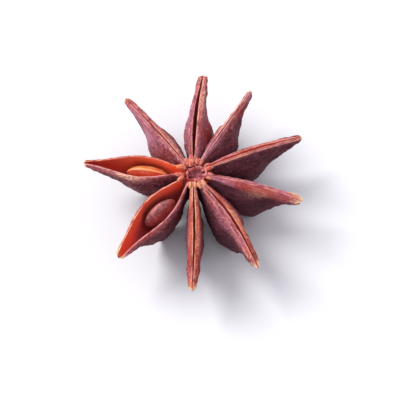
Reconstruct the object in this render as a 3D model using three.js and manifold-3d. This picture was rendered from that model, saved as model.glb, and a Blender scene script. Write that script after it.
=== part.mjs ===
// A whole dried star anise pod: nine boat-shaped carpels fused round a short column, two of them split
// wide open with a seed lying in each. It lies on its keels, sutures up. Millimetres, +Z up.
import * as THREE from 'three';
import { mergeVertices } from 'three/addons/utils/BufferGeometryUtils.js';
import Module from 'manifold-3d';

const wasm = await Module();
wasm.setup();

// ---- Driving dimensions ----
const AXIS_X = -0.37;           // the column's axis, measured from the middle of the pod's outline
const AXIS_Y = 0.38;
const SUTURE_HEIGHT = 8.6;      // height of the sutures where they meet the column
const ROOT_RADIUS = 1.25;       // where each carpel starts, measured from the pod's axis
const COLUMN_RADIUS = 1.8;      // the short column that the carpels are fused to
const COLUMN_TOP = 8.25;
const COLUMN_FOOT = 3.2;        // height of the column's underside
const CUP_RADIUS = 1.1;         // the small hollow in the column's top
const CUP_DEPTH = 0.6;
const STALK_RADIUS = 0.8;       // the scar left by the broken stalk, under the column
const STALK_LENGTH = 0.9;
const ROOT_ROUND = 0.9;         // length over which a suture comes down to the column
const ROOT_DROP = 0.35;         // and how far
const TIP_RISE = 2.0;           // length over which a tip's underside curves up to its end
const LIP_DROP = 0.28;          // how far a lip falls from the suture to its outer edge
const WALL = 0.5;               // thickness of an open carpel's wall
const OPEN_GAP = 1.5;           // lips further apart than this belong to an open carpel
const RIPPLE = 0.09;            // depth of the wrinkles that run down the walls and cross the keels
const RIPPLES = 4.6;            // how many of them there are along a carpel

// One row per carpel; angles in degrees, anticlockwise seen from above.
// reach: axis to tip. depth: suture to keel. body: extra width of the seed chamber. beak: width past the
// chamber. tip: width at the very end. gap: between the lips. lip: width of one lip. bend: sideways bow
// of the suture. arch: its upward bow. droop: how far the tip hangs below the column's top.
// twist: turn about the suture that swings the keel clockwise. nose: length over which the tip rounds off.
// lag: 1 where the sideways bow is greatest half-way, more where it is greatest nearer the tip.
// close: 0 for lips that stay apart towards the tip, 1 for lips that come together.
// taper: 0 for a slim beak that starts at a step in the keel, 1 for a keel that rises evenly to the tip.
// seed: size is its share of SEED's lengths, radius how far out its middle lies, side how far it lies off
// the suture, top how far it sits below the lips, lean its tilt, yaw its turn away from the suture's line.
const CARPELS = [
  { azimuth: 78.4, reach: 17.4, depth: 8.9, body: 3.25, beak: 0.9, tip: 1.15, gap: 0.6, lip: 0.75,
    bend: 0.4, arch: 0.35, droop: 1.5, twist: 4, nose: 0.3, lag: 1, close: 0, taper: 0.2 },
  { azimuth: 52.5, reach: 16.65, depth: 8.6, body: 3.0, beak: 0.9, tip: 0.6, gap: 0.16, lip: 0.4,
    bend: -0.2, arch: 0.35, droop: 1.5, twist: 5, nose: 0.5, lag: 1, close: 0, taper: 0.3 },
  { azimuth: 14.4, reach: 16.8, depth: 8.9, body: 3.0, beak: 1.15, tip: 1.0, gap: 0.3, lip: 0.5,
    bend: 0.1, arch: 0.35, droop: 1.5, twist: 0, nose: 0.6, lag: 1, close: 0, taper: 0.6 },
  { azimuth: 337.4, reach: 16.1, depth: 8.3, body: 3.1, beak: 1.3, tip: 1.2, gap: 0.12, lip: 0.7,
    bend: 0, arch: 0, droop: 1.4, twist: 4, nose: 1.1, lag: 1, close: 0, taper: 0.3 },
  { azimuth: 294.3, reach: 17.3, depth: 8.8, body: 3.2, beak: 1.2, tip: 0.5, gap: 0.36, lip: 0.65,
    bend: 0.75, arch: 0.3, droop: 1.5, twist: 0, nose: 0.6, lag: 1, close: 0, taper: 0.1 },
  { azimuth: 262.3, reach: 18.0, depth: 8.8, body: 1.1, beak: 1.6, tip: 0.6, gap: 0.32, lip: 0.65,
    bend: 0.3, arch: 0.35, droop: 1.5, twist: 0, nose: 0.8, lag: 1, close: 0, taper: 0.3 },
  { azimuth: 222.8, reach: 16.4, depth: 8.95, body: 1.9, beak: 0.8, tip: 0.5, gap: 3.9, lip: 0.42,
    bend: -0.15, arch: 0.4, droop: 1.5, twist: 0, nose: 0.4, lag: 2.6, close: 0.6, taper: 0.5,
    seed: { name: 'seed_front', size: 0.88, radius: 7.1, side: -0.28, top: 0.7, lean: 4, yaw: -9 } },
  { azimuth: 162.2, reach: 16.3, depth: 8.7, body: 1.9, beak: 0.8, tip: 0.8, gap: 3.2, lip: 0.42,
    bend: 0.2, arch: 0.15, droop: 1.5, twist: 0, nose: 0.4, lag: 1, close: 1, taper: 1,
    seed: { name: 'seed_left', size: 1, radius: 6.7, side: -0.1, top: 0.45, lean: -8, yaw: 0 } },
  { azimuth: 119.3, reach: 17.1, depth: 8.8, body: 3.0, beak: 1.1, tip: 0.7, gap: 0.2, lip: 0.6,
    bend: 0, arch: 0.35, droop: 1.5, twist: 0, nose: 0.4, lag: 1, close: 0, taper: 0.2 },
];
const SEED = { length: 6.2, height: 4.1, thickness: 2.3, rim: 0.06, rimWidth: 0.08 };

// Shapes along a carpel, as [share of its length, share of the full size].
const BODY_ALONG = [[0, 0.32], [0.08, 0.46], [0.15, 0.6], [0.25, 0.88], [0.35, 1], [0.43, 0.98], [0.5, 0.8],
  [0.56, 0.42], [0.64, 0.12], [0.78, 0.02], [1, 0]];
const BEAK_ALONG = [[0, 0.1], [0.3, 0.5], [0.55, 0.95], [0.68, 1], [0.82, 0.85], [0.92, 0.5], [1, 0]];
const TIP_ALONG = [[0, 0], [0.6, 0.2], [0.8, 0.5], [0.92, 0.85], [1, 1]];
const LIP_ALONG = [[0, 0.5], [0.2, 0.8], [0.5, 1], [0.8, 0.95], [1, 0.8]];
const APART_ALONG = [[0, 0.12], [0.12, 0.45], [0.3, 0.9], [0.45, 1], [0.62, 0.88], [0.8, 0.6], [1, 0.35]];
const CLOSING_ALONG = [[0, 0.12], [0.12, 0.45], [0.3, 0.88], [0.45, 1], [0.56, 0.88], [0.66, 0.66],
  [0.77, 0.42], [0.88, 0.21], [1, 0.05]];
const BEAKED_DEPTH = [[0, 0.6], [0.15, 0.76], [0.3, 0.94], [0.43, 1], [0.54, 0.94], [0.65, 0.66],
  [0.76, 0.36], [0.88, 0.2], [1, 0.13]];
const TAPERED_DEPTH = [[0, 0.6], [0.15, 0.78], [0.28, 0.96], [0.38, 1], [0.5, 0.86], [0.65, 0.62],
  [0.8, 0.38], [0.9, 0.24], [1, 0.14]];
// Half of the outer wall below the lip, as [share from the lip's edge to full width, share of the depth].
const WALL_SECTION = [[0.5, 0.15], [0.86, 0.27], [1, 0.4], [0.9, 0.6], [0.66, 0.79], [0.3, 0.95]];
// Half of an open carpel's hollow, as [share of the way to the wall, share of the depth].
const HOLLOW_SECTION = [[1, 0.16], [1, 0.34], [1, 0.54], [0.6, 0.72]];
const HOLLOW_FLOOR = 0.78;      // shares of the depth
const SLIT_FLOOR = 0.09;
const BULGE = 0.4;              // where the wall stands out furthest

const STATIONS = 19;            // steps along a carpel
const COLUMN_SIDES = 22;
const CUP_SIDES = 16;
const SEED_SIDES = 18;
const FLOOR_SIZE = 50;          // the block that cuts the keels flat

// ---- Curves ----

// Value at x of a smooth curve through the points [x, y].
function through(points, x) {
  const last = points.length - 2;
  const above = points.findIndex((p) => p[0] > x);
  const at = above < 0 ? last : Math.min(Math.max(above - 1, 0), last);
  const slope = (k) => {
    const a = points[Math.max(k - 1, 0)];
    const b = points[Math.min(k + 1, points.length - 1)];
    return (b[1] - a[1]) / (b[0] - a[0]);
  };
  const [x0, y0] = points[at];
  const [x1, y1] = points[at + 1];
  const span = x1 - x0;
  const t = (x - x0) / span;
  const bend = slope(at) * span * t * (1 - t) ** 2 - slope(at + 1) * span * t * t * (1 - t);
  return y0 + (y1 - y0) * t * t * (3 - 2 * t) + bend;
}

// ---- Carpels ----

// Where the suture of a carpel runs at share s of its length.
function sutureAt(carpel, s) {
  const bow = Math.sin(Math.PI * s ** carpel.lag);
  const rise = Math.sin(Math.PI * s);
  const atRoot = Math.max(1 - s * (carpel.reach - ROOT_RADIUS) / ROOT_ROUND, 0);
  return {
    radius: ROOT_RADIUS + (carpel.reach - ROOT_RADIUS) * s,
    side: carpel.bend * bow,
    height: SUTURE_HEIGHT + carpel.arch * rise - carpel.droop * s * s - ROOT_DROP * atRoot * atRoot,
  };
}

// A quarter of a circle, from 0 at x = 0 up to 1 at x = 1 and beyond.
function quarterRound(x) {
  return Math.sqrt(1 - (1 - Math.min(x, 1)) ** 2);
}

// The sizes of a carpel's section at share s of its length.
function sizesAt(carpel, s) {
  const fromTip = (1 - s) * (carpel.reach - ROOT_RADIUS);
  const round = Math.max(quarterRound(fromTip / carpel.nose), 0.3);
  const raised = Math.max(quarterRound(fromTip / TIP_RISE), 0.3);
  const beaked = through(BEAKED_DEPTH, s) * (1 - carpel.taper) + through(TAPERED_DEPTH, s) * carpel.taper;
  const width = carpel.body * through(BODY_ALONG, s) + carpel.beak * through(BEAK_ALONG, s)
    + carpel.tip * through(TIP_ALONG, s);
  const half = width / 2 * round;
  const apart = through(APART_ALONG, s) * (1 - carpel.close) + through(CLOSING_ALONG, s) * carpel.close;
  return {
    depth: carpel.depth * beaked * raised,
    half,
    gap: carpel.gap / 2 * apart * round,
    lip: Math.min(carpel.lip * through(LIP_ALONG, s) * round, half * 0.9),
    round,
  };
}

// How far the wrinkled wall stands out at share s of the length and share v of the depth.
function rippleAt(carpel, s, v) {
  return RIPPLE * v * Math.sin(2 * Math.PI * (RIPPLES * s + 0.5 * v + carpel.azimuth / 77));
}

// Half of a section, from the lip's inner edge round the outside to just above the keel: [side, down].
function outerHalf(carpel, s) {
  const { depth, half, gap, lip, round } = sizesAt(carpel, s);
  const drop = Math.min(LIP_DROP, depth * 0.2);
  const wall = WALL_SECTION.map(([u, v]) => {
    const width = v < BULGE ? lip + (half - lip) * u : half * u;
    return [gap * (1 - v) + width + rippleAt(carpel, s, v) * round, depth * v];
  });
  return [[gap, 0], [gap + lip * 0.6, drop * 0.3], [gap + lip, drop], ...wall];
}

// Half of the slit or hollow, from just below the lip's inner edge to its floor: [side, down].
function innerHalf(carpel, s) {
  const { depth, half, gap, lip } = sizesAt(carpel, s);
  if (carpel.gap < OPEN_GAP) return [[gap * 0.7, depth * SLIT_FLOOR * 0.5], [0, depth * SLIT_FLOOR]];
  const room = ([u, v]) => {
    const outer = gap * (1 - v) + lip + (half - lip) * Math.min(v / 0.3, 1);
    return [(outer - Math.min(WALL, half * 0.6)) * u, depth * v];
  };
  return [...HOLLOW_SECTION.map(room), [0, depth * HOLLOW_FLOOR]];
}

// The closed outline of a carpel's section at share s, as points [sideways, up], from the slit's floor.
function sectionAt(carpel, s) {
  const { depth, round } = sizesAt(carpel, s);
  const outer = outerHalf(carpel, s);
  const inner = innerHalf(carpel, s);
  const right = [...inner.slice(0, -1).reverse(), ...outer];
  const left = right.map(([x, z]) => [-x, z]).reverse();
  const loop = [inner[inner.length - 1], ...right, [0, depth + rippleAt(carpel, s, 1) * round], ...left];
  const turn = THREE.MathUtils.degToRad(carpel.twist);
  const { side, height } = sutureAt(carpel, s);
  return loop.map(([x, z]) => {
    const across = x + side * (1 - z / depth);
    return [
      across * Math.cos(turn) - z * Math.sin(turn),
      height - across * Math.sin(turn) - z * Math.cos(turn),
    ];
  });
}

// Triangles between equal rings of points, given the number of rings and of points in each.
function ringFaces(rings, count) {
  const faces = [];
  for (let r = 0; r + 1 < rings; r += 1) {
    for (let k = 0; k < count; k += 1) {
      const a = r * count + k;
      const b = r * count + (k + 1) % count;
      faces.push(a, a + count, b, b, a + count, b + count);
    }
  }
  return faces;
}

// Triangles between two chains of point numbers that start at the same point.
function stripFaces(outer, inner) {
  const faces = [];
  let a = 0;
  let b = 0;
  while (a < outer.length - 1 || b < inner.length - 1) {
    if (b === inner.length - 1 || (a + 1) / outer.length <= (b + 1) / inner.length) {
      if (outer[a] !== inner[b]) faces.push([outer[a], outer[a + 1], inner[b]]);
      a += 1;
    } else {
      faces.push([outer[a], inner[b + 1], inner[b]]);
      b += 1;
    }
  }
  return faces;
}

// Triangles that fill a carpel's section: its right wall and its left wall, from the lip to the keel.
function sectionFaces(count, lip) {
  const keel = count / 2;
  const chain = (from, to) => {
    const step = Math.sign(to - from);
    return Array.from({ length: Math.abs(to - from) + 1 }, (_, k) => from + k * step);
  };
  const right = stripFaces(chain(lip, keel), chain(lip, 0));
  const left = stripFaces(chain(count - lip, keel), [...chain(count - lip, count - 1), 0]);
  return [...right, ...left.map(([a, b, c]) => [a, c, b])];
}

// A carpel lofted through its sections, with one more of them close to the tip, where it rounds off.
function carpelGeometry(carpel) {
  const shares = Array.from({ length: STATIONS + 1 }, (_, k) => k / STATIONS);
  shares.splice(STATIONS, 0, 1 - 0.3 / STATIONS);
  const sections = shares.map((s) => sectionAt(carpel, s));
  const count = sections[0].length;
  const index = ringFaces(sections.length, count);
  const end = count * (sections.length - 1);
  for (const [a, b, c] of sectionFaces(count, innerHalf(carpel, 0).length)) {
    index.push(a, b, c, end + a, end + c, end + b);
  }
  const points = sections.flatMap((section, k) => {
    const { radius } = sutureAt(carpel, shares[k]);
    return section.flatMap(([side, up]) => [radius, side, up]);
  });
  return new THREE.BufferGeometry()
    .setAttribute('position', new THREE.Float32BufferAttribute(points, 3))
    .setIndex(index)
    .rotateZ(THREE.MathUtils.degToRad(carpel.azimuth));
}

// ---- Solids ----

// A closed three.js geometry as a solid that can be cut and joined.
function solid(geometry) {
  const bare = geometry.clone();
  bare.deleteAttribute('normal');
  bare.deleteAttribute('uv');
  const merged = mergeVertices(bare, 1e-4);
  return new wasm.Manifold(new wasm.Mesh({
    numProp: 3,
    vertProperties: merged.attributes.position.array,
    triVerts: new Uint32Array(merged.index.array),
  }));
}

function geometryOf(body) {
  const mesh = body.getMesh();
  return new THREE.BufferGeometry()
    .setAttribute('position', new THREE.BufferAttribute(mesh.vertProperties, 3))
    .setIndex(new THREE.BufferAttribute(mesh.triVerts, 1));
}

// A solid turned round the pod's axis from a profile of [radius, height], bottom first.
function turned(profile, sides) {
  const lathe = new THREE.LatheGeometry(profile.map(([r, z]) => new THREE.Vector2(r, z)), sides);
  return solid(lathe.rotateX(Math.PI / 2));
}

function column() {
  return turned([
    [0, COLUMN_FOOT - STALK_LENGTH],
    [STALK_RADIUS * 0.9, COLUMN_FOOT - STALK_LENGTH],
    [STALK_RADIUS, COLUMN_FOOT],
    [COLUMN_RADIUS, COLUMN_FOOT + 0.5],
    [COLUMN_RADIUS, COLUMN_TOP - 0.4],
    [COLUMN_RADIUS * 0.8, COLUMN_TOP],
    [0, COLUMN_TOP],
  ], COLUMN_SIDES);
}

function cup() {
  return turned([
    [0, COLUMN_TOP - CUP_DEPTH],
    [CUP_RADIUS * 0.7, COLUMN_TOP - CUP_DEPTH],
    [CUP_RADIUS, COLUMN_TOP],
    [CUP_RADIUS * 1.25, SUTURE_HEIGHT + 1],
    [0, SUTURE_HEIGHT + 1],
  ], CUP_SIDES);
}

// What lies below the level of the keels, which is taken away to leave a small flat spot on each.
function underneath() {
  return solid(new THREE.BoxGeometry(FLOOR_SIZE, FLOOR_SIZE, 2).translate(0, 0, -1));
}

function podGeometry() {
  const carpels = CARPELS.map((carpel) => solid(carpelGeometry(carpel)));
  const joined = carpels.reduce((body, carpel) => body.add(carpel), column());
  return geometryOf(joined.subtract(cup()).subtract(underneath()));
}

// A flattened egg with a low rim round its edge, its length along X and its flat sides facing Y.
function seedGeometry(size) {
  const egg = new THREE.SphereGeometry(0.5, SEED_SIDES, SEED_SIDES / 1.5).rotateX(Math.PI / 2);
  const position = egg.getAttribute('position');
  const point = new THREE.Vector3();
  for (let k = 0; k < position.count; k += 1) {
    point.fromBufferAttribute(position, k);
    const rim = 1 + SEED.rim * Math.exp(-((point.y / SEED.rimWidth) ** 2));
    position.setXYZ(k, point.x * SEED.length * rim, point.y * SEED.thickness, point.z * SEED.height * rim);
  }
  return geometryOf(solid(egg.scale(size, size, size)));
}

// ---- The pod and its seeds ----

function piece(name, geometry, color, roughness) {
  const mesh = new THREE.Mesh(geometry, new THREE.MeshStandardMaterial({ color, roughness, metalness: 0 }));
  mesh.name = name;
  return mesh;
}

// A seed standing on its edge in an open carpel, inside a group turned to that carpel's direction.
function seedIn(carpel) {
  const { name, size, radius, side, top, lean, yaw } = carpel.seed;
  const suture = sutureAt(carpel, (radius - ROOT_RADIUS) / (carpel.reach - ROOT_RADIUS));
  const seed = piece(name, seedGeometry(size), 0xa5552f, 0.3);
  seed.position.set(radius, suture.side + side, suture.height - top - SEED.height * size / 2);
  seed.rotation.set(THREE.MathUtils.degToRad(lean), 0, THREE.MathUtils.degToRad(yaw), 'ZYX');
  const arm = new THREE.Group();
  arm.rotation.z = THREE.MathUtils.degToRad(carpel.azimuth);
  arm.add(seed);
  return arm;
}

const star = new THREE.Group();
star.add(piece('pod', podGeometry(), 0x8a4640, 0.7));
for (const carpel of CARPELS.filter((row) => row.seed)) star.add(seedIn(carpel));
star.position.set(AXIS_X, AXIS_Y, 0);

export default star;
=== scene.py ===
import math

import bpy
import numpy as np
from mathutils import Matrix, Vector, kdtree, noise


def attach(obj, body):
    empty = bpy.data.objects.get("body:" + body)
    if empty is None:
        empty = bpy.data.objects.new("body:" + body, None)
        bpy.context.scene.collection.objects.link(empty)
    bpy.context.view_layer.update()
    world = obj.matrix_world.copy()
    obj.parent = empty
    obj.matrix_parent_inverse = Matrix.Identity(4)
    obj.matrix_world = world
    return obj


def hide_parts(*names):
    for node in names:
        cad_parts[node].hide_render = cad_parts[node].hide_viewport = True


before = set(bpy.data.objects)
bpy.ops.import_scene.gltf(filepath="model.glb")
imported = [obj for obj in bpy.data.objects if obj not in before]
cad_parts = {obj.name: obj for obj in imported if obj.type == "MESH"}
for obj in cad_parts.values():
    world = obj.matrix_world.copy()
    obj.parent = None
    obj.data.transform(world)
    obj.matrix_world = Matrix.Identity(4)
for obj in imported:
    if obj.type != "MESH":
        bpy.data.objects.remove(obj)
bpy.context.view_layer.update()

MM = 0.001

# ---- The pod's dimensions, as in the solids ----
AXIS = (-0.37, 0.38)      # the column's axis, measured from the middle of the pod's outline
SUTURE_HEIGHT = 8.6       # height of the sutures where they meet the column
ROOT_RADIUS = 1.25        # where each carpel starts, measured from the pod's axis
COLUMN_RADIUS = 1.8       # the short column that the carpels are fused to
COLUMN_TOP = 8.25
COLUMN_FOOT = 3.2         # height of the column's underside
CUP_RADIUS = 1.1          # the small hollow in the column's top
CUP_DEPTH = 0.6
STALK_RADIUS = 0.8        # the scar left by the broken stalk, under the column
STALK_LENGTH = 0.9
ROOT_ROUND = 0.9          # length over which a suture comes down to the column
ROOT_DROP = 0.35          # and how far
TIP_RISE = 2.0            # length over which a tip's underside curves up to its end
TIP_BLUNT = 0.3           # share of its size that a tip keeps at its very end
LIP_DROP = 0.28           # how far a lip falls from the suture to its outer edge
WALL = 0.5                # thickness of an open carpel's wall
OPEN_GAP = 1.5            # lips further apart than this belong to an open carpel
RIPPLE = 0.09             # depth of the wrinkles that run down the walls and cross the keels
RIPPLES = 4.6             # how many of them there are along a carpel
RIPPLE_TURN = 77          # degrees of azimuth that shift them by one

# One row per carpel, clockwise from the back; angles in degrees, anticlockwise seen from above.
# The form, as in the solids:
# reach: axis to tip. depth: suture to keel. body: extra width of the seed chamber. beak: width past the
# chamber. tip: width at the very end. gap: between the lips. lip: width of one lip. bend: sideways bow
# of the suture. arch: its upward bow. droop: how far the tip hangs below the column's top.
# twist: turn about the suture that swings the keel clockwise. nose: length over which the tip rounds off.
# lag: 1 where the sideways bow is greatest half-way, more where that is nearer the tip.
# close: 0 for lips that stay apart towards the tip, 1 for lips that come together.
# taper: 0 for a slim beak from a step in the keel, 1 for a keel that rises evenly to the tip.
# seed: size as a share of SEED's lengths, radius how far out its middle lies, side how far off the
# suture, top how far below the lips, lean its tilt, yaw its turn away from the suture's line, rim how far
# its rim stands out, as a share of SEED's, and gloss 0 for a dull coat or 1 for a polished one.
# The skin, where a pair is for the left and the right side, seen from the hub:
# lump: size of the lump that a lip ends in at the hub. warm: how orange and not mauve a lip is.
# edge: how bright its inner edge is, partly its pale skin and partly painted highlight.
# line: how bright the painted highlight along its outer shoulder is, if it has one, at
# line_at, a share of the lip's width. dark: how much painted shade darkens the wall from a depth
# of about band downwards. band: that depth at the hub and at the tip. pale: how far back the cream of the
# tip reaches, as a share of the length. slit: how red and not brown the inside of a slit is.
# tan, red, lilac: patches of that colour, each with its side (1 left, -1 right), the shares of the length
# and of the depth where it lies, and its strength.
# glow: how bright and orange an open carpel's inside is, at the hub and at the tip: its own orange, raised
# by painted light where the hollow is lit. deep: from how far to how far below the suture it turns dull.
CARPELS = [
    dict(azimuth=78.4, reach=17.4, depth=8.9, body=3.25, beak=0.9, tip=1.15, gap=0.6, lip=0.75,
         bend=0.4, arch=0.35, droop=1.5, twist=4, nose=0.3, lag=1, close=0, taper=0.2,
         lump=(1.6, 1), warm=(0.2, 0.35), edge=(0.15, 1), dark=(0, 0),
         band=(2.4, 1.8), pale=0.02, slit=0.1,
         tan=[(-1, 0.72, 0.05, 0.8)], red=[(-1, 0.34, 0.22, 1.3)],
         lilac=[(1, 0.55, 0.12, 0.9), (-1, 0.15, 0.1, 0.6), (-1, 0.55, 0.1, 0.4)]),
    dict(azimuth=52.5, reach=16.65, depth=8.6, body=3, beak=0.9, tip=0.6, gap=0.16, lip=0.4,
         bend=-0.2, arch=0.35, droop=1.5, twist=5, nose=0.5, lag=1, close=0, taper=0.3,
         lump=(0.8, 0.9), warm=(0.05, 0.1), edge=(0.6, 0.7), line=(0.2, 0.5), dark=(0.2, 0.75),
         band=(0.15, 1.5), pale=0.03, slit=0.3,
         tan=[(1, 0.55, 0.04, 1), (1, 0.8, 0.04, 1)], red=[(-1, 0.7, 0.2, 1.3)],
         lilac=[(1, 0.15, 0.03, 0.9), (-1, 0.2, 0, 0.8)]),
    dict(azimuth=14.4, reach=16.8, depth=8.9, body=3, beak=1.15, tip=1, gap=0.3, lip=0.5,
         bend=0.1, arch=0.35, droop=1.5, twist=0, nose=0.6, lag=1, close=0, taper=0.6,
         lump=(0.8, 1), warm=(0.3, 0.4), edge=(0.8, 0.4), line=(0.2, 1), line_at=0.65, dark=(0.2, 0.9),
         band=(0.1, 0.16), pale=0.02, slit=1,
         red=[(-1, 0.3, 0, 0.9), (-1, 0.6, 0, 0.7)]),
    dict(azimuth=337.4, reach=16.1, depth=8.3, body=3.1, beak=1.3, tip=1.2, gap=0.12, lip=0.7,
         bend=0, arch=0, droop=1.4, twist=4, nose=1.1, lag=1, close=0, taper=0.3,
         lump=(0.8, 0.7), warm=(0, 0.25), edge=(0.8, 0.1), line=(0.8, 0), dark=(0.5, 1.2),
         band=(0.05, 0.95), pale=0.13, slit=1,
         tan=[(-1, 0.6, 0.1, 0.5)], red=[(-1, 0.4, 0.05, 1.2), (-1, 0.7, 0.12, 1.3)],
         lilac=[(-1, 0.25, 0.04, 1)]),
    dict(azimuth=294.3, reach=17.3, depth=8.8, body=3.2, beak=1.2, tip=0.5, gap=0.36, lip=0.65,
         bend=0.75, arch=0.3, droop=1.5, twist=0, nose=0.6, lag=1, close=0, taper=0.1,
         lump=(1, 0.9), warm=(0.75, 0.2), edge=(0.4, 0.6), line=(0, 0.4), dark=(0.3, 1),
         band=(0.7, 1.6), pale=0.06, slit=0.4,
         tan=[(1, 0.5, 0.02, 0.8)], red=[(1, 0.25, 0.02, 0.7), (1, 0.75, 0.04, 0.8)],
         lilac=[(-1, 0.5, 0.22, 1)]),
    dict(azimuth=262.3, reach=18, depth=8.8, body=1.1, beak=1.6, tip=0.6, gap=0.32, lip=0.65,
         bend=0.3, arch=0.35, droop=1.5, twist=0, nose=0.8, lag=1, close=0, taper=0.3,
         lump=(0.9, 1), warm=(0.8, 0.7), edge=(0.65, 0.55), dark=(0.7, 0.7),
         band=(0.4, 1.2), pale=0.04, slit=0.5,
         tan=[(-1, 0.12, 0.02, 0.6), (1, 0.55, 0.03, 0.5)],
         red=[(1, 0.75, 0.1, 1.2), (1, 0.4, 0.1, 0.6), (-1, 0.35, 0.05, 1), (-1, 0.7, 0.1, 1)]),
    dict(azimuth=222.8, reach=16.4, depth=8.95, body=1.9, beak=0.8, tip=0.5, gap=3.9, lip=0.42,
         bend=-0.15, arch=0.4, droop=1.5, twist=0, nose=0.4, lag=2.6, close=0.6, taper=0.5,
         seed=dict(name="seed_front", size=0.88, radius=7.1, side=-0.28, top=0.7, lean=4, yaw=-9, rim=0.3,
                   coat="dull_seed", gloss=0),
         lump=(0.8, 1.1), warm=(0.1, 0.6), edge=(1, 0.8), dark=(0.8, 0.2),
         band=(0.4, 1.2), pale=0.07, slit=0, glow=(0.55, 0.5), deep=(1.3, 3.2),
         tan=[(-1, 0.88, 0.05, 1.5), (-1, 0.96, 0.2, 1.5)], red=[(1, 0.7, 0.15, 1)]),
    dict(azimuth=162.2, reach=16.3, depth=8.7, body=1.9, beak=0.8, tip=0.8, gap=3.2, lip=0.42,
         bend=0.2, arch=0.15, droop=1.5, twist=0, nose=0.4, lag=1, close=1, taper=1,
         seed=dict(name="seed_left", size=1, radius=6.7, side=-0.1, top=0.45, lean=-8, yaw=0, rim=1,
                   coat="orange_seed", gloss=1),
         lump=(1.1, 1.3), warm=(0.1, 0.9), edge=(0.9, 0.3), dark=(0.6, 0.2),
         band=(0.4, 1.2), pale=0.03, slit=0, glow=(1, 0.3), deep=(2, 6),
         tan=[(1, 0.53, 0.03, 1.4)]),
    dict(azimuth=119.3, reach=17.1, depth=8.8, body=3, beak=1.1, tip=0.7, gap=0.2, lip=0.6,
         bend=0, arch=0.35, droop=1.5, twist=0, nose=0.4, lag=1, close=0, taper=0.2,
         lump=(0.8, 1.2), warm=(0.2, 0.35), edge=(0.4, 0.5), line=(0, 0.3), dark=(0, 0.1),
         band=(6, 4), pale=0.03, slit=0.6,
         tan=[(-1, 0.25, 0.06, 0.7)], red=[(1, 0.25, 0.4, 1.8)],
         lilac=[(1, 0.55, 0.2, 1.2), (1, 0.75, 0.1, 0.6)]),
]
SEED = dict(length=6.2, height=4.1, thickness=2.3, rim=0.06, rim_width=0.08)

# Shapes along a carpel, as (share of its length, share of the full size).
BODY_ALONG = [(0, 0.32), (0.08, 0.46), (0.15, 0.6), (0.25, 0.88), (0.35, 1), (0.43, 0.98), (0.5, 0.8),
              (0.56, 0.42), (0.64, 0.12), (0.78, 0.02), (1, 0)]
BEAK_ALONG = [(0, 0.1), (0.3, 0.5), (0.55, 0.95), (0.68, 1), (0.82, 0.85), (0.92, 0.5), (1, 0)]
TIP_ALONG = [(0, 0), (0.6, 0.2), (0.8, 0.5), (0.92, 0.85), (1, 1)]
LIP_ALONG = [(0, 0.5), (0.2, 0.8), (0.5, 1), (0.8, 0.95), (1, 0.8)]
# The gap between lips that stay apart towards the tip, and between lips that come together.
APART_ALONG = [(0, 0.12), (0.12, 0.45), (0.3, 0.9), (0.45, 1), (0.62, 0.88), (0.8, 0.6), (1, 0.35)]
CLOSING_ALONG = [(0, 0.12), (0.12, 0.45), (0.3, 0.88), (0.45, 1), (0.56, 0.88), (0.66, 0.66), (0.77, 0.42),
                 (0.88, 0.21), (1, 0.05)]
BEAKED_DEPTH = [(0, 0.6), (0.15, 0.76), (0.3, 0.94), (0.43, 1), (0.54, 0.94), (0.65, 0.66),
                (0.76, 0.36), (0.88, 0.2), (1, 0.13)]
TAPERED_DEPTH = [(0, 0.6), (0.15, 0.78), (0.28, 0.96), (0.38, 1), (0.5, 0.86), (0.65, 0.62),
                 (0.8, 0.38), (0.9, 0.24), (1, 0.14)]
# Half of the outer wall below the lip, as (share from the lip's edge to full width, share of the depth).
WALL_SECTION = [(0.5, 0.15), (0.86, 0.27), (1, 0.4), (0.9, 0.6), (0.66, 0.79), (0.3, 0.95)]
# Half of an open carpel's hollow, as (share of the way to the wall, share of the depth).
HOLLOW_SECTION = [(1, 0.16), (1, 0.34), (1, 0.54), (0.6, 0.72)]
HOLLOW_FLOOR = 0.78       # shares of the depth
SLIT_FLOOR = 0.09
BULGE = 0.4               # where the wall stands out furthest

# ---- How finely the visible surface is made ----
# Where a carpel has its rings, as shares of its length: closer together at the tip.
STATIONS = np.concatenate([np.linspace(0, 0.92, 84), np.linspace(0.92, 1, 15)[1:]])
# Where a smooth section has its points, counted along the plain one from the lip's inner edge.
OUTER_STEPS = np.concatenate([np.linspace(0, 2, 9), np.linspace(2, 9, 33)[1:]])
HOLLOW_STEPS = np.concatenate([[0, 0.04, 0.1, 0.2, 0.35, 0.6], np.linspace(1, 5, 17)])
SLIT_STEPS = np.array([0, 0.12, 0.3, 0.6, 1, 1.5, 2])
HUB_ROWS = 73
HUB_SIDES = 104
KNOB_ROWS = 11
KNOB_SIDES = 20
SEED_SIDES = 72
POD_SHARP = 55            # edges that turn by more degrees than this are shaded sharp
SEED_SHARP = 80

# ---- Its relief ----
WRINKLE = 0.07            # height of the long wrinkles on the walls
DENT = 0.07               # depth of the shallow dents between them
INSIDE_DENT = 0.3         # depth of the dents inside, as a share of those outside
GRIT = 0.03               # height of the finest relief
KEEL_NICK = 0.12          # how uneven the keels' edges are
LIP_WAVE = 0.035          # how uneven the lips' inner edges are
LIP_KNOBS = 0.06          # height of the lumps along the lips
HUB_FLAKE = 0.07          # height of the flakes in the cup
HUB_TEAR = 0.3            # how uneven the height of the cup's rim is
HUB_CORNER = 0.2          # how far the rim is from round, as a share of its radius
HUB_WIDE = 0.2            # how much wider the cup is along X than along Y, as a share
HUB_SHIFT = (0.5, -0.28)  # of the cup away from the axis
KNOB_RADIUS = 1.9         # how far from the axis the lumps lie that the lips end in
KNOB_SIZE = (0.62, 0.3, 0.28)  # half their length, width and height
KNOB_UNEVEN = 0.25        # how far they are from smooth, as a share of their size
SEED_UNEVEN = 0.012       # the same for the seeds
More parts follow.
